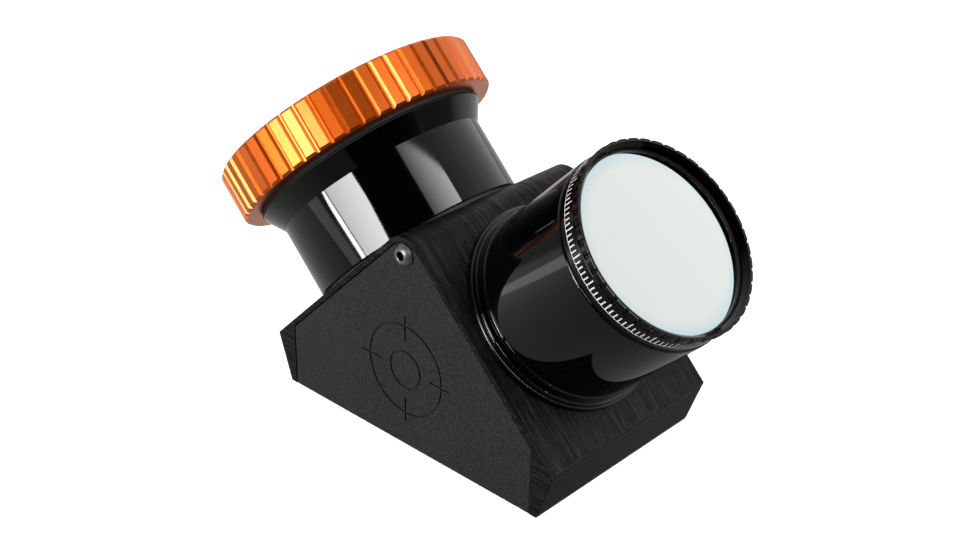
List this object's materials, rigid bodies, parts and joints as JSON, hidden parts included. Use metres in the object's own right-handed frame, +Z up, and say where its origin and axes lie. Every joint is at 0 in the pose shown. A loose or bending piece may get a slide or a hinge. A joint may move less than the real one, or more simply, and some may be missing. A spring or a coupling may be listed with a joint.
{
  "type": "star diagonal",
  "caption": "Right-angle mirror diagonal for telescopes with a push-fit nose barrel, a screw-in nose filter and a twist-lock eyepiece holder.",
  "frame": {"origin": "centre of the resting face of the back plate, below the crossing of the two optical axes", "axes": "+Z up, normal to the mirror and to the resting face; +Y across the housing, level; the nose barrel points to +X and up at 45 degrees and the eyepiece holder to -X and up at 45 degrees"},
  "size_m": [0.1523, 0.0752, 0.0936],
  "materials": {
    "housing": "black anodised, brushed",
    "side_plate_left": "black anodised, fine bead blasted",
    "side_plate_right": "black anodised, fine bead blasted",
    "side_plate_screws": "plain steel, slightly weathered",
    "back_plate": "black anodised, fine bead blasted",
    "back_plate_screws": "black oxide",
    "mirror": "dielectric coating on a ground glass block",
    "mirror_support_pads": "plain",
    "mirror_pressure_pad": "closed-cell",
    "thread_lock_screws": "black oxide",
    "nose_seat_ring": "gloss black anodised",
    "nose_barrel": "gloss black anodised",
    "filter_cell": "black anodised, knurled",
    "filter_glass": "coated, pale reflection",
    "filter_retainer": "black anodised",
    "holder_seat_ring": "matte black anodised",
    "eyepiece_holder": "gloss black anodised",
    "sleeve_keys": "ground",
    "thrust_sleeve": "black anodised",
    "compression_ring": "turned",
    "collar_glide_washer": "plain",
    "collar_snap_ring": "spring steel",
    "collar_grip": "orange anodised, satin",
    "collar_top_ring": "black anodised"
  },
  "bodies": {
    "base": {"housing": "housing", "side_plate_left": "side_plate_left", "side_plate_right": "side_plate_right", "side_plate_screws": "side_plate_screws", "back_plate": "back_plate", "back_plate_screws": "back_plate_screws", "mirror": "mirror", "mirror_support_pads": "mirror_support_pads", "mirror_pressure_pad": "mirror_pressure_pad", "thread_lock_screws": "thread_lock_screws", "nose_seat_ring": "nose_seat_ring", "nose_barrel": "nose_barrel", "holder_seat_ring": "holder_seat_ring", "eyepiece_holder": "eyepiece_holder", "sleeve_keys": "sleeve_keys", "compression_ring": "compression_ring", "collar_glide_washer": "collar_glide_washer", "collar_snap_ring": "collar_snap_ring"},
    "collar": {"collar_grip": "collar_grip", "collar_top_ring": "collar_top_ring"},
    "sleeve": {"thrust_sleeve": "thrust_sleeve"},
    "filter_optic": {"filter_glass": "filter_glass"},
    "filter_ring": {"filter_cell": "filter_cell", "filter_retainer": "filter_retainer"}
  },
  "joints": [
    {"name": "collar_twist", "type": "hinge", "parent": "base", "child": "collar", "pos_m": [-0.04879, 0, 0.06246], "axis": [0.7071, 0, -0.7071], "range_deg": [0, 120]},
    {"name": "sleeve_travel", "type": "slide", "parent": "base", "child": "sleeve", "axis": [0.7071, 0, -0.7071], "range_m": [0, 0.0005]},
    {"name": "filter_travel", "type": "slide", "parent": "base", "child": "filter_optic", "axis": [0.7071, 0, 0.7071], "range_m": [0, 0.00281]},
    {"name": "filter_turn", "type": "hinge", "parent": "filter_optic", "child": "filter_ring", "pos_m": [0.05162, 0, 0.06529], "axis": [0.7071, 0, 0.7071], "range_deg": [0, 1350]}
  ],
  "couplings": [
    {"joint": "sleeve_travel", "follows": "collar_twist", "m_per_rad": 0.00023873},
    {"joint": "filter_travel", "follows": "filter_turn", "m_per_rad": 0.00011937}
  ]
}
